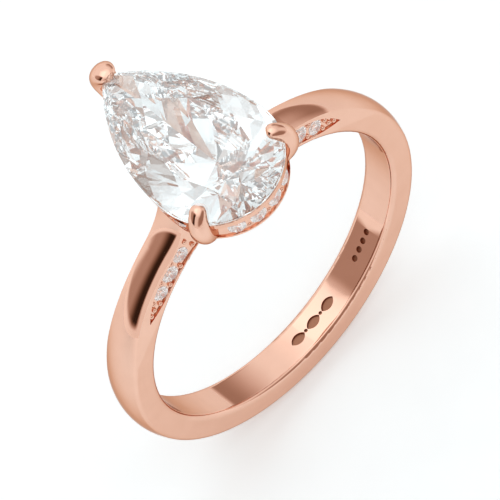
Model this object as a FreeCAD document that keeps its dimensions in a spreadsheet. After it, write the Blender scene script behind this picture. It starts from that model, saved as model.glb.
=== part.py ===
import FreeCAD, Part
import functools
import math
import os
import Sketcher
from FreeCAD import Placement, Rotation, Vector

# Rose gold engagement ring: one band with rising shoulders, a pear-shaped centre stone in a
# three-claw basket, a hidden halo under the stone and four pave channels in the shoulders.
# Origin: centre of the finger hole.  +Z: towards the stone.  Y: along the finger, the point
# of the pear at +Y.  X: across the hand.  Millimetres.

os.makedirs("parts", exist_ok=True)
doc = FreeCAD.newDocument("EngagementRing")

# ---------------------------------------------------------------- driving sizes
SIZES = [
    ("finger_radius", 8.25, "finger hole, 16.5 mm across"),
    ("band_outer_radius", 9.9, "outside of the band along its crown"),
    ("crown_dome", 0.3, "rise of the domed crown across the band"),
    ("blank_allowance", 0.06, "metal left on the blank for the dome to be cut from"),
    ("band_drop", 0.06, "centre of the outside circle below the centre of the finger hole"),
    ("band_width", 2.1, "band along the finger"),
    ("outer_edge_round", 0.2, "rounding of the outer edges"),
    ("bore_edge_round", 0.25, "rounding of the finger hole edges"),
    ("shoulder_angle", 27.0, "degrees from the top where the shoulder starts to rise"),
    ("sweep_radius", 3.4, "hollow curve of the rising shoulder"),
    ("saddle_radius", 2.0, "round saddle between the shoulders"),
    ("girdle_height", 13.0, "middle of the centre stone's girdle"),
    ("girdle_thickness", 0.16, "thickness of the girdle"),
    ("stone_half_width", 3.45, "radius of the round end of the pear"),
    ("stone_point_length", 7.7, "from the widest line to the point"),
    ("stone_widest_y", -1.35, "Y of the widest line"),
    ("crown_height", 1.04, "girdle to table"),
    ("pavilion_depth", 2.6, "girdle to culet"),
    ("table_ratio", 0.6, "table over girdle"),
    ("collar_bottom", 11.1, "underside of the halo collar, top of the shoulders"),
    ("collar_ledge", 12.4, "top of the pave wall of the collar"),
    ("collar_top", 12.7, "top of the rail over the pave wall"),
    ("collar_low_inset", 0.22, "lower edge of the pave wall inside the girdle outline"),
    ("collar_high_inset", 0.36, "top of the pave wall inside the girdle outline"),
    ("collar_rail_inset", 0.06, "rail over the pave wall inside the girdle outline"),
    ("collar_wall", 1.1, "girdle outline to the collar's inner wall"),
    ("rail_bottom", 9.35, "underside of the lower gallery rail"),
    ("rail_height", 0.55, "height of the gallery rail"),
    ("rail_half_width", 1.25, "round end radius of the gallery rail"),
    ("rail_point_length", 4.6, "widest line to point of the gallery rail"),
    ("rail_wall", 0.5, "wall of the gallery rail"),
    ("bearing_inset", 0.33, "outer edge of the bevel behind the stone's bearing"),
    ("wall_recess", 0.07, "pave wall behind the foot rim of the collar"),
    ("foot_rim_height", 0.12, "rim along the foot of the collar"),
    ("claw_angle", 31.0, "degrees of the round-end claws below the widest line"),
    ("halo_melee_size", 0.92, "halo stone across"),
    ("halo_sink", 0.06, "girdle of a halo stone below the face of the pave wall"),
    ("halo_pitch_round", 21.5, "degrees between halo stones on the round end"),
    ("halo_pitch_side", 1.2, "between halo stones along the sides"),
    ("halo_side_start", -0.1, "first side halo stone, from the widest line towards the point"),
    ("facet_turn", 38.0, "degrees from the top where the side facet lies nearest the finger"),
    ("facet_radius", 8.4, "where the side facet leaves the side of the band"),
    ("facet_slant", 9.0, "degrees the side facet leans over towards the crown"),
    ("channel_depth", 0.1, "depth of the pave channel in the side facet"),
    ("channel_low_radius", 8.56, "lower border of the channel"),
    ("channel_rim", 0.42, "metal left above the channel"),
    ("bead_radius", 0.13, "radius of a setting grain"),
    ("mark_depth", 0.12, "depth of the ornament inside the band"),
]

sheet = doc.addObject("Spreadsheet::Sheet", "sizes")
for row, (alias, value, note) in enumerate(SIZES, start=1):
    sheet.set(f"A{row}", alias)
    sheet.set(f"B{row}", str(value))
    sheet.set(f"C{row}", note)
    sheet.setAlias(f"B{row}", alias)
doc.recompute()


def size(alias):
    return float(sheet.get(alias))


HALF_BAND = size("band_width") / 2
R_OUT = size("band_outer_radius")
R_BORE = size("finger_radius")
WIDEST_Y = size("stone_widest_y")
Z_GIRDLE = size("girdle_height")
HALF_GIRDLE = size("girdle_thickness") / 2
WALL_FOOT, WALL_TOP = size("collar_bottom"), size("collar_ledge")
UP = Vector(0, 0, 1)


def feature(label, shape, placement=None):
    """A document object that carries a shape made by the Part functions."""
    obj = doc.addObject("Part::Feature", label)
    obj.Label = label
    obj.Shape = shape.copy()
    if placement is not None:
        obj.Placement = placement
    return obj


def polar(radius, degrees_from_top):
    """(X, Z) on a circle about the finger axis, the angle measured from +Z towards +X."""
    turn = math.radians(degrees_from_top)
    return radius * math.sin(turn), radius * math.cos(turn)


# ---------------------------------------------------------------- pear outline
class Pear:
    """Half circle at -Y joined by two long arcs that meet in a point at +Y."""

    def __init__(self, half_width, point_length, widest_y=WIDEST_Y):
        self.r = half_width
        self.big = (point_length ** 2 + half_width ** 2) / (2 * half_width)
        self.shift = self.big - half_width
        self.y0 = widest_y

    def tip_turn(self, offset=0.0):
        return math.acos(self.shift / (self.big + offset))

    def side_length(self):
        return self.big * self.tip_turn()

    def side(self, turn, offset=0.0):
        """Point and outward normal on the +X side arc; turn 0 is the widest line."""
        normal = Vector(math.cos(turn), math.sin(turn), 0)
        return Vector(-self.shift, self.y0, 0) + normal * (self.big + offset), normal

    def round_end(self, degrees, offset=0.0):
        """Point and outward normal on the half circle; 0 is +X, -90 is -Y."""
        turn = math.radians(degrees)
        normal = Vector(math.cos(turn), math.sin(turn), 0)
        return Vector(0, self.y0, 0) + normal * (self.r + offset), normal

    def at(self, fraction):
        """Point and unit tangent, the fraction running from the point round by +X."""
        side, half = self.side_length(), math.pi * self.r
        run = (fraction % 1.0) * (2 * side + half)
        if run < 1e-9:
            return self.side(self.tip_turn())[0], Vector(1, 0, 0)
        if run < side:
            place, normal = self.side((side - run) / self.big)
            return place, Vector(normal.y, -normal.x, 0)
        if run < side + half:
            place, normal = self.round_end(-math.degrees((run - side) / self.r))
            return place, Vector(normal.y, -normal.x, 0)
        place, normal = self.side((run - side - half) / self.big)
        return Vector(-place.x, place.y, 0), Vector(normal.y, normal.x, 0)

    def wire(self, offset, z):
        tip_turn = self.tip_turn(offset)
        tip = self.side(tip_turn, offset)[0]
        lift = Vector(0, 0, z)
        mirror = lambda v: Vector(-v.x, v.y, v.z)
        middle = self.side(tip_turn / 2, offset)[0]
        wide = self.side(0, offset)[0]
        low = self.round_end(-90, offset)[0]
        arcs = [
            Part.Arc(tip + lift, middle + lift, wide + lift),
            Part.Arc(wide + lift, low + lift, mirror(wide) + lift),
            Part.Arc(mirror(wide) + lift, mirror(middle) + lift, tip + lift),
        ]
        return Part.Wire([arc.toShape() for arc in arcs])

    def skirt(self, low_offset, low_z, high_offset, high_z):
        """Solid between two outlines."""
        return Part.makeLoft([self.wire(low_offset, low_z), self.wire(high_offset, high_z)],
                             True, True)


STONE = Pear(size("stone_half_width"), size("stone_point_length"))
RAIL = Pear(size("rail_half_width"), size("rail_point_length"))


# ---------------------------------------------------------------- brilliant cut
class Round:
    """Round outline with the same calls as Pear, for the small stones."""

    def __init__(self, radius):
        self.r, self.y0 = radius, 0.0

    def at(self, fraction):
        turn = 2 * math.pi * fraction
        return (Vector(self.r * math.cos(turn), self.r * math.sin(turn), 0),
                Vector(-math.sin(turn), math.cos(turn), 0))


def crossing(p, u, q, v):
    """Where the line p + a u meets q + b v, in the XY plane."""
    det = u.x * v.y - u.y * v.x
    a = ((q.x - p.x) * v.y - (q.y - p.y) * v.x) / det
    return p + u * a


def half_space(point, normal):
    """A large box on the outer side of a plane."""
    reach = 30.0
    box = Part.makeBox(2 * reach, 2 * reach, reach, Vector(-reach, -reach, 0))
    box.Placement = Placement(point, Rotation(UP, normal))
    return box


def fan(outline, mains):
    """Where the mains touch the girdle, the points midway between them, and the corners in
    which neighbouring tangents meet."""
    corner, middle, cross = [], [], []
    ends = mains[1:] + [mains[0] + 1.0]
    for start, end in zip(mains, ends):
        here, along = outline.at(start)
        there, onward = outline.at(end % 1.0)
        corner.append(here)
        middle.append(outline.at((start + end) / 2 % 1.0)[0])
        cross.append(crossing(here, along, there, onward))
    return corner, middle, cross


def brilliant(outline, blank, crown_mains, pavilion_mains, crown, depth, half_girdle, table_ratio,
              star=0.52, lower_half=0.76):
    """Brilliant ground from a blank, facet by facet: table, stars, kites and upper halves
    above the girdle, mains and lower halves below it."""
    centre = Vector(0, outline.y0, 0)

    def level(point, ratio, z):
        return centre + (point - centre) * ratio + Vector(0, 0, z)

    corner, middle, cross = fan(outline, crown_mains)
    table = [level(p, table_ratio, half_girdle + crown) for p in corner]
    upper = [level(p, 1 - (1 - table_ratio) * star, half_girdle + crown * star) for p in cross]
    planes = [(table[0], table[1], table[2])]
    for k in range(len(crown_mains)):
        nxt = (k + 1) % len(crown_mains)
        planes.append((table[k], table[nxt], upper[k]))
        planes.append((table[k], upper[k - 1], upper[k]))
        for end in (corner[k], corner[nxt]):
            planes.append((upper[k], end + UP * half_girdle, middle[k] + UP * half_girdle))

    corner, middle, cross = fan(outline, pavilion_mains)
    lower = [level(p, 1 - lower_half, -half_girdle - depth * lower_half) for p in cross]
    culet = level(centre, 1, -half_girdle - depth)
    for k in range(len(pavilion_mains)):
        planes.append((culet, lower[k - 1], lower[k]))
        for end in (corner[k], corner[(k + 1) % len(pavilion_mains)]):
            planes.append((lower[k], end - UP * half_girdle, middle[k] - UP * half_girdle))
    solid = blank
    for a, b, c in planes:
        normal = (b - a).cross(c - a)
        normal.normalize()
        if normal.dot(a - centre) < 0:
            normal = -normal
        solid = solid.cut(half_space(a, normal))
    return solid


# Where the main facets touch the girdle, as fractions of the way round from +X
PEAR_CROWN = [0.0, 0.15, 0.285, 0.4, 0.5, 0.6, 0.715, 0.85]
PEAR_PAVILION = [0.06, 0.15, 0.24, 0.32, 0.4, 0.465, 0.535, 0.6, 0.68, 0.76, 0.85, 0.94]
ROUND_MAINS = [k / 8 for k in range(8)]
# Proportions of a small round brilliant, over its width
MELEE_CROWN, MELEE_PAVILION, MELEE_HALF_GIRDLE, MELEE_TABLE = 0.14, 0.42, 0.03, 0.56

stone_blank = STONE.skirt(0, -size("pavilion_depth") - 1, 0, size("crown_height") + 1)
stone_shape = brilliant(STONE, stone_blank, PEAR_CROWN, PEAR_PAVILION, size("crown_height"),
                        size("pavilion_depth"), HALF_GIRDLE, size("table_ratio"), lower_half=0.6)
centre_stone = feature("centre_stone", stone_shape,
                       Placement(Vector(0, 0, Z_GIRDLE), Rotation()))


@functools.lru_cache
def melee_shape(across):
    blank = Part.makeCylinder(across / 2, across, Vector(0, 0, -across / 2))
    return brilliant(Round(across / 2), blank, ROUND_MAINS, ROUND_MAINS, MELEE_CROWN * across,
                     MELEE_PAVILION * across, MELEE_HALF_GIRDLE * across, MELEE_TABLE)


SEAT_PLAY, SEAT_TIP, SEAT_BORE = 0.005, 0.02, 0.6


def seat_shape(across):
    """Drilled seat for a small stone: a cone under the girdle and a bore above it."""
    radius = across / 2 + SEAT_PLAY
    drop, deep = 0.02 * across, 0.46 * across
    cone = Part.makeCone(SEAT_TIP, radius, deep, Vector(0, 0, -drop - deep))
    bore = Part.makeCylinder(radius, SEAT_BORE, Vector(0, 0, -drop))
    return cone.fuse(bore)


def facing(centre, normal, along):
    """Placement that turns +Z to the normal and +X to the along direction."""
    side = normal.cross(along)
    return Placement(centre, Rotation(along, side, normal, "ZXY"))


# ---------------------------------------------------------------- halo stones
def wall_frame(place, normal, lift=0.0, inward=0.0):
    """Centre and normal on the sloping pave wall above an outline point."""
    tall = WALL_TOP - WALL_FOOT
    lean = size("collar_high_inset") - size("collar_low_inset")
    run = UP * tall - normal * lean
    outward = normal * tall + UP * lean
    outward.normalize()
    middle = place - normal * (lean / 2 + size("collar_low_inset")) \
        + UP * (WALL_FOOT + WALL_TOP) / 2
    run.normalize()
    return middle + run * lift - outward * inward, outward


def halo_places():
    """Outline point, normal and tangent of every halo stone, from the right claw round."""
    places = []
    step = size("halo_pitch_side")
    for k in range(7):
        run = size("halo_side_start") + step * k
        if run < 0:
            place, normal = STONE.round_end(math.degrees(run / STONE.r))
        else:
            place, normal = STONE.side(run / STONE.big)
        places.append((place, normal))
    left = [(Vector(-p.x, p.y, 0), Vector(-n.x, n.y, 0)) for p, n in reversed(places)]
    pitch = size("halo_pitch_round")
    front = [STONE.round_end(-90 + pitch * (k - 1.5)) for k in range(4)]
    return places + left + front


HALO = [(p, n, Vector(-n.y, n.x, 0)) for p, n in halo_places()]
halo_seats, halo_nodes = [], []
for index, (place, normal, along) in enumerate(HALO, start=1):
    centre, outward = wall_frame(place, normal, 0.0, size("halo_sink"))
    pose = facing(centre, outward, along)
    halo_nodes.append(feature(f"halo_melee_{index:02d}", melee_shape(size("halo_melee_size")),
                              pose))
    seat = seat_shape(size("halo_melee_size"))
    seat.Placement = pose
    halo_seats.append(seat)

# ---------------------------------------------------------------- claws
def claw_solid(spine, across, thick, side_axis):
    """Loft of ellipses along a spine of points; across is along side_axis."""
    wires = []
    for k, point in enumerate(spine):
        before, after = spine[max(k - 1, 0)], spine[min(k + 1, len(spine) - 1)]
        run = after - before
        run.normalize()
        third = run.cross(side_axis)
        third.normalize()
        pose = Placement(point, Rotation(side_axis, third, run, "ZXY"))
        a, b = across[k] / 2, thick[k] / 2
        if a >= b:
            curve = Part.Ellipse(Vector(), a + 1e-4, b)
            turn = Rotation()
        else:
            curve = Part.Ellipse(Vector(), b + 1e-4, a)
            turn = Rotation(UP, 90)
        wire = Part.Wire([curve.toShape()])
        wire.Placement = pose.multiply(Placement(Vector(), turn))
        wires.append(wire)
    return Part.makeLoft(wires, True, False)


# Spine of a round-end claw: distance outside the girdle outline, height, width, thickness
ROUND_CLAW = [
    (-2.35, 9.5, 0.62, 0.62), (-1.8, 9.9, 0.66, 0.62), (-1.1, 10.6, 0.78, 0.66),
    (-0.4, 11.35, 0.94, 0.8), (0.05, 12.0, 1.06, 0.92), (0.18, 12.65, 1.08, 0.92),
    (0.04, 13.2, 0.98, 0.86), (-0.22, 13.54, 0.88, 0.74), (-0.48, 13.72, 0.74, 0.56),
    (-0.62, 13.78, 0.46, 0.32),
]
# Spine of the point claw: Y, height, width, thickness
POINT_CLAW = [
    (2.9, 9.6, 0.7, 0.6), (3.7, 9.85, 0.74, 0.62), (4.7, 10.35, 0.84, 0.68),
    (5.55, 11.1, 1.04, 0.8), (6.18, 11.95, 1.24, 0.94), (6.42, 12.65, 1.38, 1.0),
    (6.36, 13.2, 1.38, 1.0), (6.1, 13.56, 1.28, 0.86), (5.76, 13.74, 1.04, 0.62),
    (5.54, 13.78, 0.6, 0.36),
]


def round_claw(side):
    degrees = -size("claw_angle") if side > 0 else -180 + size("claw_angle")
    foot, normal = STONE.round_end(degrees)
    spine = [foot + normal * d + UP * z for d, z, _, _ in ROUND_CLAW]
    return claw_solid(spine, [row[2] for row in ROUND_CLAW], [row[3] for row in ROUND_CLAW],
                      Vector(-normal.y, normal.x, 0))


point_spine = [Vector(0, y, z) for y, z, _, _ in POINT_CLAW]
claw_blanks = {
    "claw_left": round_claw(-1),
    "claw_right": round_claw(1),
    "claw_point": claw_solid(point_spine, [row[2] for row in POINT_CLAW],
                             [row[3] for row in POINT_CLAW], Vector(1, 0, 0)),
}

# ---------------------------------------------------------------- gallery rail
rail_low = size("rail_bottom")
rail_high = rail_low + size("rail_height")
rail_shape = RAIL.skirt(0, rail_low, 0, rail_high).cut(
    RAIL.skirt(-size("rail_wall"), rail_low - 1, -size("rail_wall"), rail_high + 1))
gallery_rail = feature("gallery_rail", rail_shape)

stone_placed = centre_stone.Shape
claw_nodes = []
for label, blank in claw_blanks.items():
    claw_nodes.append(feature(label, blank.cut(stone_placed).cut(rail_shape)))

# ---------------------------------------------------------------- halo collar
collar_top = size("collar_top")
low_inset, high_inset = size("collar_low_inset"), size("collar_high_inset")
recess, rim_height = size("wall_recess"), size("foot_rim_height")
BEVEL_SPARE = 0.1
wall = STONE.skirt(-low_inset - recess, WALL_FOOT, -high_inset - recess, WALL_TOP)
foot_rim = STONE.skirt(-low_inset, WALL_FOOT, -low_inset, WALL_FOOT + rim_height)
lip = STONE.skirt(-size("collar_rail_inset"), WALL_TOP, -size("collar_rail_inset"), collar_top)
inner = STONE.skirt(-size("collar_wall"), WALL_FOOT - 1, -size("collar_wall"), collar_top + 1)
# Only a narrow bearing touches the stone: the rest of the seat falls away under the pavilion
seat_inset, seat_fall = size("bearing_inset"), size("collar_wall")
bevel = STONE.skirt(-seat_inset - seat_fall, collar_top - seat_fall,
                    BEVEL_SPARE - seat_inset, collar_top + BEVEL_SPARE)
collar_blank = wall.fuse([lip, foot_rim]).cut([inner, bevel])
grains = []
GRAIN_SPREAD, GRAIN_SINK = 0.3, 0.02
HALO_GAPS = [(k, k + 1) for k in range(6)] + [(k, k + 1) for k in range(7, 13)] \
    + [(k, k + 1) for k in range(14, 17)]
for one, two in HALO_GAPS:
    place = (HALO[one][0] + HALO[two][0]) / 2
    normal = HALO[one][1] + HALO[two][1]
    normal.normalize()
    for lift in (GRAIN_SPREAD, -GRAIN_SPREAD):
        centre, _ = wall_frame(place, normal, lift, recess - GRAIN_SINK)
        grains.append(Part.makeSphere(size("bead_radius"), centre))
collar_shape = collar_blank.cut(halo_seats).fuse(grains)
collar_shape = collar_shape.cut([stone_placed] + list(claw_blanks.values()))
collar_shape = max(collar_shape.Solids, key=lambda solid: solid.Volume)
halo_collar = feature("halo_collar", collar_shape)

# ---------------------------------------------------------------- shank
body = doc.addObject("PartDesign::Body", "shank_body")
side_plane = next(f for f in body.Origin.OriginFeatures if f.Role == "XZ_Plane")


def sketch_on_side(name):
    sketch = body.newObject("Sketcher::SketchObject", name)
    sketch.AttachmentSupport = [(side_plane, "")]
    sketch.MapMode = "FlatFace"
    return sketch


def flat(x, z):
    return Vector(x, z, 0)


shoulder = size("shoulder_angle")
sweep = size("sweep_radius")
saddle = size("saddle_radius")
z_land = size("collar_bottom")
drop = size("band_drop")
spare = size("blank_allowance")
cx, cz = polar(R_OUT + sweep, shoulder)
cz -= drop
dip = math.asin((cz - z_land) / (sweep - spare))
x_land = cx - (sweep - spare) * math.cos(dip)

profile = sketch_on_side("side_profile")
hoop = Part.ArcOfCircle(Part.Circle(flat(0, -drop), UP, R_OUT + spare),
                        math.radians(90 + shoulder), math.radians(450 - shoulder))
right = Part.ArcOfCircle(Part.Circle(flat(cx, cz), UP, sweep - spare),
                         math.pi + dip, math.radians(270 - shoulder))
left = Part.ArcOfCircle(Part.Circle(flat(-cx, cz), UP, sweep - spare),
                        math.radians(270 + shoulder), 2 * math.pi - dip)
cup = Part.ArcOfCircle(Part.Circle(flat(0, z_land), UP, saddle), math.pi, 2 * math.pi)
land_right = Part.LineSegment(flat(saddle, z_land), flat(x_land, z_land))
land_left = Part.LineSegment(flat(-x_land, z_land), flat(-saddle, z_land))
profile.addGeometry([hoop, right, left, cup, land_right, land_left], False)
HOOP, RIGHT, LEFT, CUP, LAND_R, LAND_L = range(6)
START, END, MID = 1, 2, 3
for first, second in (((HOOP, END), (RIGHT, END)), ((HOOP, START), (LEFT, START))):
    profile.addConstraint(Sketcher.Constraint("Tangent", *first, *second))
for first, second in (((RIGHT, START), (LAND_R, END)), ((LEFT, END), (LAND_L, START)),
                      ((LAND_R, START), (CUP, END)), ((LAND_L, END), (CUP, START))):
    profile.addConstraint(Sketcher.Constraint("Coincident", *first, *second))
profile.addConstraint(Sketcher.Constraint("PointOnObject", HOOP, MID, -2))
profile.addConstraint(Sketcher.Constraint("PointOnObject", CUP, MID, -2))
profile.addConstraint(Sketcher.Constraint("Horizontal", LAND_R))
profile.addConstraint(Sketcher.Constraint("Horizontal", LAND_L))
profile.addConstraint(Sketcher.Constraint("Symmetric", RIGHT, MID, LEFT, MID, -2))
DRIVEN = [
    ("hoop_radius", ("Radius", HOOP, R_OUT + spare), "band_outer_radius + sizes.blank_allowance"),
    ("hoop_drop", ("DistanceY", HOOP, MID, -1, 1, drop), "band_drop"),
    ("sweep", ("Radius", RIGHT, sweep - spare), "sweep_radius - sizes.blank_allowance"),
    ("cup", ("Radius", CUP, saddle), "saddle_radius"),
    ("land_height", ("DistanceY", -1, 1, CUP, MID, z_land), "collar_bottom"),
    ("cup_height", ("DistanceY", -1, 1, LAND_R, START, z_land), "collar_bottom"),
]
for name, spec, alias in DRIVEN:
    index = profile.addConstraint(Sketcher.Constraint(*spec))
    profile.renameConstraint(index, name)
    profile.setExpression(f"Constraints.{name}", f"sizes.{alias}")

pad = body.newObject("PartDesign::Pad", "band_pad")
pad.Profile = profile
pad.setExpression("Length", "sizes.band_width")
pad.Midplane = True

bore_sketch = sketch_on_side("bore_circle")
bore_sketch.addGeometry(Part.Circle(flat(0, 0), UP, R_BORE), False)
bore_sketch.addConstraint(Sketcher.Constraint("Coincident", 0, 3, -1, 1))
index = bore_sketch.addConstraint(Sketcher.Constraint("Radius", 0, R_BORE))
bore_sketch.renameConstraint(index, "bore_radius")
bore_sketch.setExpression("Constraints.bore_radius", "sizes.finger_radius")
bore = body.newObject("PartDesign::Pocket", "finger_hole")
bore.Profile = bore_sketch
bore.Type = 1
bore.Midplane = True
body.Tip = bore
doc.recompute()

# The crown is domed across the band: tools turned about the hoop's centre and the two sweeps
dome = size("crown_dome")
DOME_RADIUS = (HALF_BAND ** 2 + dome ** 2) / (2 * dome)
WASTE_SPARE = 0.3
reach = HALF_BAND + WASTE_SPARE
reach_depth = DOME_RADIUS - math.sqrt(DOME_RADIUS ** 2 - reach ** 2)
FINGER_AXIS = Vector(0, 1, 0)


def dome_tool(axis_place, heading, crown_radius, side, far, start, sweep_by):
    """Ring of waste turned about an axis along Y; side is +1 where the metal is inside."""
    def at(radius, y):
        return axis_place + heading * radius + Vector(0, y, 0)
    edge = crown_radius - side * reach_depth
    face = Part.Face(Part.Wire([
        Part.Arc(at(edge, -reach), at(crown_radius, 0), at(edge, reach)).toShape(),
        Part.makePolygon([at(edge, reach), at(far, reach), at(far, -reach), at(edge, -reach)]),
    ]))
    face.rotate(axis_place, FINGER_AXIS, start)
    return face.revolve(axis_place, FINGER_AXIS, sweep_by)


hoop_turn = 360 - 2 * shoulder
hoop_waste = dome_tool(Vector(0, 0, -drop), Vector(0, 0, -1), R_OUT, 1, R_OUT + 1,
                       -hoop_turn / 2, hoop_turn)
right_waste = dome_tool(Vector(cx, 0, cz), Vector(-1, 0, 0), sweep, -1, sweep - 1,
                        shoulder - 90, 90 - shoulder + 8)
left_waste = right_waste.mirror(Vector(), Vector(1, 0, 0))
waste = feature("crown_waste", Part.makeCompound([hoop_waste, right_waste, left_waste]))
domed = doc.addObject("Part::Cut", "domed_band")
domed.Base, domed.Tool = body, waste
doc.recompute()


def edge_radius(edge):
    """Radius of a circular edge that lies on a side of the band, or 0."""
    flat_edge = all(abs(abs(v.Point.y) - HALF_BAND) < 1e-5 for v in edge.Vertexes)
    return edge.Curve.Radius if flat_edge and isinstance(edge.Curve, Part.Circle) else 0


ROUNDS = {R_OUT - dome: "outer_edge_round", sweep + dome: "outer_edge_round",
          R_BORE: "bore_edge_round"}
rounded = doc.addObject("Part::Fillet", "rounded_band")
rounded.Base = domed
rounded.Edges = [(i, size(alias), size(alias))
                 for i, edge in enumerate(domed.Shape.Edges, start=1)
                 for radius, alias in ROUNDS.items() if abs(edge_radius(edge) - radius) < 1e-3]
doc.recompute()

# Side facets: planes that lean over from the side of the band towards the crown
facet_turn, slant = math.radians(size("facet_turn")), math.radians(size("facet_slant"))


def side_facet(sx, sy, sink=0.0):
    """Point and outward normal of a side facet, sunk below its surface."""
    radial = Vector(sx * math.sin(facet_turn), 0, math.cos(facet_turn))
    normal = radial * math.sin(slant) + Vector(0, sy * math.cos(slant), 0)
    point = radial * size("facet_radius") + Vector(0, sy * HALF_BAND, 0)
    return point - normal * sink, normal


SIDES = [(sx, sy) for sx in (-1, 1) for sy in (-1, 1)]
facet_tools = [half_space(*side_facet(sx, sy)) for sx, sy in SIDES]

# Pave channels: a leaf outline on each side facet, sunk by the channel's depth
r_low, r_high = size("channel_low_radius"), R_OUT - size("channel_rim")
POINT_RADIUS, POINT_ANGLE, LEAF_ANGLE, HEAD_ANGLE = 9.08, 49.5, 38.0, 18.0
RIM_ANGLE = shoulder + 4
HEAD_RISE = 0.36
# Middle points of the border's curves: radius from the border's own radius, angle
POINT_BEND, HEAD_BEND, FOOT_BEND = (-0.12, 42.0), (0.1, 24.0), (0.17, 44.0)


def spot(radius, degrees):
    x, z = polar(radius, degrees)
    return Vector(x, -HALF_BAND - 1, z)


border = [
    Part.Arc(spot(POINT_RADIUS, POINT_ANGLE), spot(r_high + POINT_BEND[0], POINT_BEND[1]),
             spot(r_high, RIM_ANGLE)).toShape(),
    Part.Arc(spot(r_high, RIM_ANGLE), spot(r_high + HEAD_BEND[0], HEAD_BEND[1]),
             spot(r_high + HEAD_RISE, HEAD_ANGLE)).toShape(),
    Part.LineSegment(spot(r_high + HEAD_RISE, HEAD_ANGLE), spot(r_low, HEAD_ANGLE)).toShape(),
    Part.Arc(spot(r_low, HEAD_ANGLE), spot(r_low, (HEAD_ANGLE + LEAF_ANGLE) / 2),
             spot(r_low, LEAF_ANGLE)).toShape(),
    Part.Arc(spot(r_low, LEAF_ANGLE), spot(r_low + FOOT_BEND[0], FOOT_BEND[1]),
             spot(POINT_RADIUS, POINT_ANGLE)).toShape(),
]
leaf = Part.Face(Part.Wire(border)).extrude(Vector(0, HALF_BAND + 1, 0))
floor_point, floor_normal = side_facet(1, -1, size("channel_depth"))
channel = leaf.common(half_space(floor_point, floor_normal))
channels = [channel, channel.mirror(Vector(), Vector(0, 1, 0))]
channels += [one.mirror(Vector(), Vector(1, 0, 0)) for one in channels]

# Shoulder stones and grains: angle from the top, radius about the finger axis
SHOULDER_ROW = [(24.2, 9.12, 0.9), (31.2, 9.02, 0.94), (38.2, 9.0, 0.84)]
SHOULDER_GRAINS = [(19.6, 8.84), (19.9, 9.48), (27.6, 8.7), (27.8, 9.38), (34.7, 8.7),
                   (34.7, 9.32), (41.8, 8.82), (42.0, 9.24), (44.2, 9.04), (46.6, 9.08)]


GRAIN_LIFT = 0.03


def on_facet(sx, sy, degrees, radius, lift):
    """Point above the channel floor over a place on the side view."""
    x, z = polar(radius, degrees)
    point, normal = side_facet(sx, sy, size("channel_depth"))
    y = point.y - (normal.x * (sx * x - point.x) + normal.z * (z - point.z)) / normal.y
    return Vector(sx * x, y, z) + normal * lift, normal


shoulder_seats, shoulder_nodes, shoulder_grains = [], [], []
SIDE_NAMES = {(-1, -1): "front_left", (1, -1): "front_right",
              (-1, 1): "back_left", (1, 1): "back_right"}
for (sx, sy), side_name in SIDE_NAMES.items():
    for index, (degrees, radius, across) in enumerate(SHOULDER_ROW, start=1):
        centre, outward = on_facet(sx, sy, degrees, radius, 0.0)
        pose = facing(centre, outward, outward.cross(FINGER_AXIS).normalize())
        shoulder_nodes.append(feature(f"shoulder_melee_{side_name}_{index}",
                                      melee_shape(across), pose))
        seat = seat_shape(across)
        seat.Placement = pose
        shoulder_seats.append(seat)
    for degrees, radius in SHOULDER_GRAINS:
        centre, _ = on_facet(sx, sy, degrees, radius, GRAIN_LIFT)
        shoulder_grains.append(Part.makeSphere(size("bead_radius"), centre))

# Ornament inside the band: three leaves with dots between them near the bottom, and a row
# of dots to one side.  Places are angles from the top.
LEAF_LENGTH, LEAF_WIDTH = 0.92, 0.56
LEAVES = (165.0, 173.0, 181.0)
DOTS = [(169.0, 0.1), (177.0, 0.1), (135.0, 0.17), (138.7, 0.17), (142.3, 0.17), (146.0, 0.17)]
TOOL_START = 0.3
tool_length = TOOL_START + size("mark_depth")


def bore_tool(shape, degrees):
    """Put a tool that points along +Z on the bore wall, the angle from the top."""
    x, z = polar(R_BORE - TOOL_START, degrees)
    shape.Placement = Placement(Vector(x, 0, z), Rotation(FINGER_AXIS, degrees))
    return shape


leaf_end, leaf_side = Vector(LEAF_LENGTH / 2, 0, 0), Vector(0, LEAF_WIDTH / 2, 0)
ornament = Part.Face(Part.Wire([Part.Arc(leaf_end, leaf_side, -leaf_end).toShape(),
                                Part.Arc(-leaf_end, -leaf_side, leaf_end).toShape()]))
marks = [bore_tool(ornament.extrude(UP * tool_length), place) for place in LEAVES]
marks += [bore_tool(Part.makeCylinder(radius, tool_length), place) for place, radius in DOTS]

tools = feature("shank_cutters", Part.makeCompound(
    facet_tools + channels + [rail_shape] + shoulder_seats + marks))
cut = doc.addObject("Part::Cut", "shank_cut")
cut.Base, cut.Tool = rounded, tools
grain_set = feature("shoulder_grains", Part.makeCompound(shoulder_grains))
shank = doc.addObject("Part::Fuse", "shank")
shank.Base, shank.Tool = cut, grain_set
shank.Label = "shank"
doc.recompute()

# ---------------------------------------------------------------- check and export
nodes = [shank, gallery_rail, halo_collar, centre_stone] + claw_nodes + halo_nodes \
    + shoulder_nodes
for obj in doc.Objects:
    if any(word in obj.State for word in ("Invalid", "Error")):
        raise RuntimeError(f"{obj.Label} is in state {obj.State}")
for node in nodes:
    if node.Shape.isNull() or not node.Shape.isValid():
        raise RuntimeError(f"{node.Label} has no valid shape")
for node in nodes:
    node.Shape.exportStep(f"parts/{node.Label}.step")
    bounds = node.Shape.BoundBox
    print(f"{node.Label:32s} solids {len(node.Shape.Solids)} volume {node.Shape.Volume:8.3f} "
          f"z {bounds.ZMin:6.2f} {bounds.ZMax:6.2f}")
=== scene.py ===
import math

import bpy
from mathutils import Matrix, Vector


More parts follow.
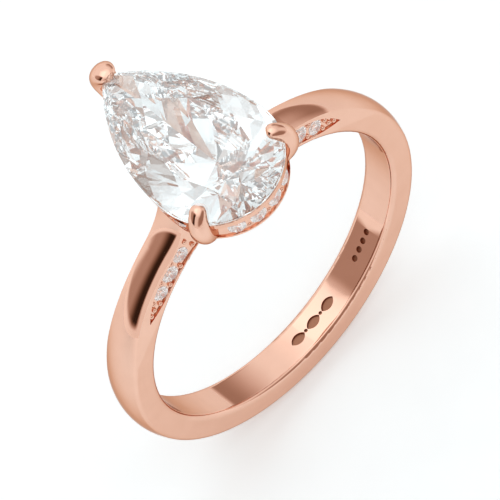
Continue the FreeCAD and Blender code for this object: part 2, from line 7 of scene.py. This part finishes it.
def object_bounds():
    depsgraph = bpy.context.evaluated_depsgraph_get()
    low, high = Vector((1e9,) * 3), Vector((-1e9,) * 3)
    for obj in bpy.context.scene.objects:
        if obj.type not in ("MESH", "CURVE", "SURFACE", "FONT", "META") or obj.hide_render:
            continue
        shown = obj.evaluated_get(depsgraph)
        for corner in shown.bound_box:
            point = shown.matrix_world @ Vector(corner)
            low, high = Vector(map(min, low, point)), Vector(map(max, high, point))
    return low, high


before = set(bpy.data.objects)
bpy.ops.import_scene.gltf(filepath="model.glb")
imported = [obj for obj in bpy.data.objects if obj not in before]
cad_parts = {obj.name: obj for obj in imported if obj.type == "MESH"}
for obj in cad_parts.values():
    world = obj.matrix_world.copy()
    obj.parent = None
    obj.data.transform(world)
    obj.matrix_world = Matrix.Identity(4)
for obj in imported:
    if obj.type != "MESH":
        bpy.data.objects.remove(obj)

MM = 0.001
CAD_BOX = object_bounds()
FLOOR_Z = CAD_BOX[0][2]
FLOOR_REACH = 3.0

# Gold.  A tint is a list of (noise value, colour) stops, a polish of (noise value, roughness).
GOLD_TINT = [(0.3, (0.855, 0.53, 0.405)), (0.7, (0.88, 0.555, 0.43))]
GOLD_GRAZING = (0.62, 0.42, 0.33)
GOLD_POLISH = [(0.3, 0.035), (0.75, 0.08)]
CLOUD_SCALE, CLOUD_DETAIL = 900.0, 3.0
HAIRLINE_SCALE, HAIRLINE_DETAIL = 14000.0, 4.0
# The marks sunk into the finger hole: where their floors lie, how softly each limit ends, and
# how the floors look: a duller polish, and a dark colour that is painted shade for the shade
# in the recessed floors.
MARK_RADII = (8.275 * MM, 8.39 * MM)
MARK_WIDTH = (-0.6 * MM, 0.6 * MM)
MARK_HEIGHTS = (-9 * MM, -5 * MM)
RADIUS_SOFT, WIDTH_SOFT, HEIGHT_SOFT = 0.01 * MM, 0.05 * MM, 0.1 * MM
# Painted shade: this dark colour stands in for the shade in the recessed floors of the marks.
MARK_PAINTED_SHADE = (0.34, 0.16, 0.1)
MARK_ROUGHNESS = 0.4

# Stones: colour of the body, inner light, and the roughest of the polish lines.
DIAMOND_IOR = 2.417
INNER_LIGHT = (0.92, 0.97, 1.0)
CENTRE_BODY, CENTRE_GLOW, CENTRE_LINES = (0.75, 0.825, 0.845), 0.024, 0.01
MELEE_BODY, MELEE_GLOW, MELEE_LINES = (0.98, 1.0, 1.0), 0.02, 0.002
POLISH_SCALE, POLISH_DETAIL = 5000.0, 2.0
POLISH_START, POLISH_END = 0.4, 0.8

# Floor, a little cool to make up for the light that the gold throws on it.
SWEEP_TINT = [(0.3, (0.78, 0.85, 0.87)), (0.7, (0.8, 0.87, 0.89))]
SWEEP_GRAIN = 400.0
SWEEP_ROUGHNESS = 0.35
SWEEP_SHINE = 0.3
SWEEP_LIFT, SWEEP_LIFT_TINT = 0.29, (0.95, 0.98, 1.0)

# Studio.  An edge is (axis, start, end, top): along that axis of the direction of view it rises
# smoothly from 0 at start to top at end.  The two rises add light to the walls, and a flag takes
# away the product of its edges.  What the flags darken also turns towards the dark tint.
WALL_LEVEL = 0.9
RISES = (("Z", 0.72, 0.98, 0.45), ("Y", -0.2, 0.6, 0.15))
LEFT = (("X", -0.38, -0.56, 1.0), ("Z", 0.06, 0.16, 1.0), ("Z", 0.92, 0.76, 1.0))
LEFT_BACK = (("Y", 1.0, 0.68, 0.54), ("Y", -0.1, -0.02, 1.0))
LEFT_MIDDLE = (("Y", 0.5, 0.1, 0.92), ("Y", -0.1, -0.02, 1.0))
RIGHT = (("X", 0.55, 0.7, 1.0), ("Z", -0.02, 0.06, 1.0), ("Z", 0.72, 0.12, 1.0))
RIGHT_BACK = (("Y", 0.95, 0.6, 0.62), ("Y", -0.2, 0.1, 1.0))
FRONT = (("Y", -0.45, -0.75, 1.0), ("Z", 0.05, 0.2, 1.0), ("Z", 0.8, 0.6, 0.6))
FLAGS = (LEFT + LEFT_BACK, LEFT + LEFT_MIDDLE, RIGHT + RIGHT_BACK, FRONT)
DARK_TINT = (1.0, 0.5, 0.3)
KEY_PLACE, KEY_SIZE, KEY_POWER = (-0.05, 0.10, 0.30), (0.22, 0.22), 0.03

# Camera: angles in degrees, and the eye moved sideways and up to centre the ring.
AZIMUTH, ELEVATION, ROLL = (math.radians(angle) for angle in (-21.17, 59.8, 28.75))
DISTANCE = 330 * MM
SHIFT_RIGHT, SHIFT_UP = -0.532 * MM, 0.736 * MM
LENS, SENSOR = 482.0, 36.0
CLIP_START, CLIP_END = 0.01, 10.0

# Render: enough bounces for light to find its way out of a stone and off the gold.
STONE_BOUNCES, GOLD_BOUNCES = 32, 16

# ---------------------------------------------------------------- node helpers


def new_material(name):
    material = bpy.data.materials.new(name)
    material.use_nodes = True
    return material, material.node_tree.nodes["Principled BSDF"]


def add(material, kind, **inputs):
    """A shader node with its input sockets set by name."""
    node = material.node_tree.nodes.new(kind)
    for name, value in inputs.items():
        node.inputs[name].default_value = value
    return node


def link(material, source, target):
    material.node_tree.links.new(source, target)


def ramp(material, source, stops):
    """Colour ramp over (position, grey or colour) stops."""
    node = add(material, "ShaderNodeValToRGB")
    for element, (place, value) in zip(node.color_ramp.elements, stops):
        element.position = place
        element.color = (value, value, value, 1) if isinstance(value, float) else (*value, 1)
    link(material, source, node.inputs["Fac"])
    return node.outputs["Color"]


def multiply(material, first, second):
    node = add(material, "ShaderNodeMath")
    node.operation = "MULTIPLY"
    link(material, first, node.inputs[0])
    link(material, second, node.inputs[1])
    return node.outputs[0]


def span(material, value, limits, soft):
    """1 where a value lies between two limits, with soft ends."""
    low, high = limits
    ends = []
    for start, end in ((low - soft, low), (high + soft, high)):
        node = add(material, "ShaderNodeMapRange")
        node.interpolation_type = "SMOOTHSTEP"
        node.inputs["From Min"].default_value = start
        node.inputs["From Max"].default_value = end
        link(material, value, node.inputs["Value"])
        ends.append(node.outputs["Result"])
    return multiply(material, *ends)


def mix(material, share, first, colour):
    """A linked colour that turns into a set one as share goes to 1."""
    node = add(material, "ShaderNodeMixRGB", Color2=(*colour, 1))
    link(material, share, node.inputs["Fac"])
    link(material, first, node.inputs["Color1"])
    return node.outputs["Color"]


# ---------------------------------------------------------------- materials


def sunk_marks(material, place):
    """1 on the floor of the marks sunk into the finger hole."""
    split = add(material, "ShaderNodeSeparateXYZ")
    link(material, place, split.inputs["Vector"])
    radial = add(material, "ShaderNodeCombineXYZ")
    link(material, split.outputs["X"], radial.inputs["X"])
    link(material, split.outputs["Z"], radial.inputs["Z"])
    length = add(material, "ShaderNodeVectorMath")
    length.operation = "LENGTH"
    link(material, radial.outputs["Vector"], length.inputs[0])
    sunk = span(material, length.outputs["Value"], MARK_RADII, RADIUS_SOFT)
    inside = span(material, split.outputs["Y"], MARK_WIDTH, WIDTH_SOFT)
    low = span(material, split.outputs["Z"], MARK_HEIGHTS, HEIGHT_SOFT)
    return multiply(material, multiply(material, sunk, inside), low)


def rose_gold():
    """Polished rose gold: faint hairlines, a breath of colour change, and in the marks inside
    the band a duller floor darkened with painted shade."""
    material, shader = new_material("rose_gold_polished")
    shader.inputs["Metallic"].default_value = 1.0
    shader.inputs["Specular Tint"].default_value = (*GOLD_GRAZING, 1)
    coords = add(material, "ShaderNodeTexCoord")
    place = coords.outputs["Object"]
    marks = sunk_marks(material, place)
    cloud = add(material, "ShaderNodeTexNoise", Scale=CLOUD_SCALE, Detail=CLOUD_DETAIL)
    link(material, place, cloud.inputs["Vector"])
    tint = ramp(material, cloud.outputs["Fac"], GOLD_TINT)
    # Painted shade on the floors of the marks, where the recesses would be in shade.
    colour = mix(material, marks, tint, MARK_PAINTED_SHADE)
    link(material, colour, shader.inputs["Base Color"])
    hair = add(material, "ShaderNodeTexNoise", Scale=HAIRLINE_SCALE, Detail=HAIRLINE_DETAIL)
    link(material, place, hair.inputs["Vector"])
    polish = ramp(material, hair.outputs["Fac"], GOLD_POLISH)
    rough = mix(material, marks, polish, (MARK_ROUGHNESS,) * 3)
    link(material, rough, shader.inputs["Roughness"])
    return material


def diamond(name, body, glow, lines):
    """Cut diamond: a cool clear body, a little inner light in place of the many bounces of a
    real stone, and a trace of polish lines in its roughness."""
    material, shader = new_material(name)
    shader.inputs["Base Color"].default_value = (*body, 1)
    shader.inputs["Transmission Weight"].default_value = 1.0
    shader.inputs["IOR"].default_value = DIAMOND_IOR
    shader.inputs["Emission Color"].default_value = (*INNER_LIGHT, 1)
    shader.inputs["Emission Strength"].default_value = glow
    coords = add(material, "ShaderNodeTexCoord")
    noise = add(material, "ShaderNodeTexNoise", Scale=POLISH_SCALE, Detail=POLISH_DETAIL)
    link(material, coords.outputs["Object"], noise.inputs["Vector"])
    rough = ramp(material, noise.outputs["Fac"], [(POLISH_START, 0.0), (POLISH_END, lines)])
    link(material, rough, shader.inputs["Roughness"])
    return material


GOLD = rose_gold()
CENTRE = diamond("centre_diamond", CENTRE_BODY, CENTRE_GLOW, CENTRE_LINES)
MELEE = diamond("melee_diamond", MELEE_BODY, MELEE_GLOW, MELEE_LINES)

for name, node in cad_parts.items():
    finish = MELEE if "melee" in name else CENTRE if name == "centre_stone" else GOLD
    for slot in node.material_slots:
        slot.material = finish

# ---------------------------------------------------------------- floor


def floor():
    mesh = bpy.data.meshes.new("floor")
    signs = ((-1, -1), (1, -1), (1, 1), (-1, 1))
    corners = [(x * FLOOR_REACH, y * FLOOR_REACH, FLOOR_Z) for x, y in signs]
    mesh.from_pydata(corners, [], [(0, 1, 2, 3)])
    plane = bpy.data.objects.new("floor", mesh)
    bpy.context.collection.objects.link(plane)
    material, shader = new_material("white_sweep")
    coords = add(material, "ShaderNodeTexCoord")
    grain = add(material, "ShaderNodeTexNoise", Scale=SWEEP_GRAIN)
    link(material, coords.outputs["Object"], grain.inputs["Vector"])
    shade = ramp(material, grain.outputs["Fac"], SWEEP_TINT)
    link(material, shade, shader.inputs["Base Color"])
    shader.inputs["Roughness"].default_value = SWEEP_ROUGHNESS
    shader.inputs["Specular IOR Level"].default_value = SWEEP_SHINE
    shader.inputs["Emission Color"].default_value = (*SWEEP_LIFT_TINT, 1)
    shader.inputs["Emission Strength"].default_value = SWEEP_LIFT
    mesh.materials.append(material)


floor()

# ---------------------------------------------------------------- light


def studio():
    """White walls, brighter overhead and behind, with dark flags to the left and right of the
    ring and one in front that give the polished metal its contrast."""
    world = bpy.data.worlds.new("studio")
    bpy.context.scene.world = world
    world.use_nodes = True
    tree = world.node_tree
    coords = tree.nodes.new("ShaderNodeTexCoord")
    split = tree.nodes.new("ShaderNodeSeparateXYZ")
    tree.links.new(coords.outputs["Generated"], split.inputs["Vector"])

    def combine(kind, first, second):
        node = tree.nodes.new("ShaderNodeMath")
        node.operation = kind
        for socket, value in zip(node.inputs, (first, second)):
            if isinstance(value, float):
                socket.default_value = value
            else:
                tree.links.new(value, socket)
        return node.outputs[0]

    def rise(axis, start, end, top):
        node = tree.nodes.new("ShaderNodeMapRange")
        node.interpolation_type = "SMOOTHSTEP"
        tree.links.new(split.outputs[axis], node.inputs["Value"])
        node.inputs["From Min"].default_value = start
        node.inputs["From Max"].default_value = end
        node.inputs["To Max"].default_value = top
        return node.outputs["Result"]

    level = WALL_LEVEL
    for edge in RISES:
        level = combine("ADD", level, rise(*edge))
    for flag in FLAGS:
        share = 1.0
        for edge in flag:
            share = combine("MULTIPLY", share, rise(*edge))
        level = combine("MULTIPLY", level, combine("SUBTRACT", 1.0, share))
    tint = tree.nodes.new("ShaderNodeMixRGB")
    tint.inputs["Color1"].default_value = (*DARK_TINT, 1)
    tint.inputs["Color2"].default_value = (1.0, 1.0, 1.0, 1)
    tree.links.new(level, tint.inputs["Fac"])
    background = tree.nodes["Background"]
    tree.links.new(tint.outputs["Color"], background.inputs["Color"])
    tree.links.new(level, background.inputs["Strength"])


def softbox():
    data = bpy.data.lights.new("key_softbox", "AREA")
    data.shape = "RECTANGLE"
    data.size, data.size_y = KEY_SIZE
    data.energy = KEY_POWER
    lamp = bpy.data.objects.new("key_softbox", data)
    lamp.location = KEY_PLACE
    lamp.rotation_euler = (-Vector(KEY_PLACE)).to_track_quat("-Z", "Y").to_euler()
    bpy.context.collection.objects.link(lamp)


studio()
softbox()

# ---------------------------------------------------------------- camera


def camera():
    out = Vector((math.sin(AZIMUTH) * math.cos(ELEVATION),
                  -math.cos(AZIMUTH) * math.cos(ELEVATION), math.sin(ELEVATION)))
    level = Vector((math.cos(AZIMUTH), math.sin(AZIMUTH), 0))
    rise = out.cross(level)
    right = level * math.cos(ROLL) - rise * math.sin(ROLL)
    up = level * math.sin(ROLL) + rise * math.cos(ROLL)
    place = out * DISTANCE + right * SHIFT_RIGHT + up * SHIFT_UP
    turn = Matrix((right, up, out)).transposed()
    data = bpy.data.cameras.new("camera")
    data.sensor_width = SENSOR
    data.lens = LENS
    data.clip_start = CLIP_START
    data.clip_end = CLIP_END
    eye = bpy.data.objects.new("camera", data)
    eye.matrix_world = Matrix.Translation(place) @ turn.to_4x4()
    bpy.context.collection.objects.link(eye)
    bpy.context.scene.camera = eye


camera()
bpy.context.scene.view_settings.view_transform = "Standard"
bpy.context.scene.cycles.max_bounces = STONE_BOUNCES
bpy.context.scene.cycles.transmission_bounces = STONE_BOUNCES
bpy.context.scene.cycles.glossy_bounces = GOLD_BOUNCES
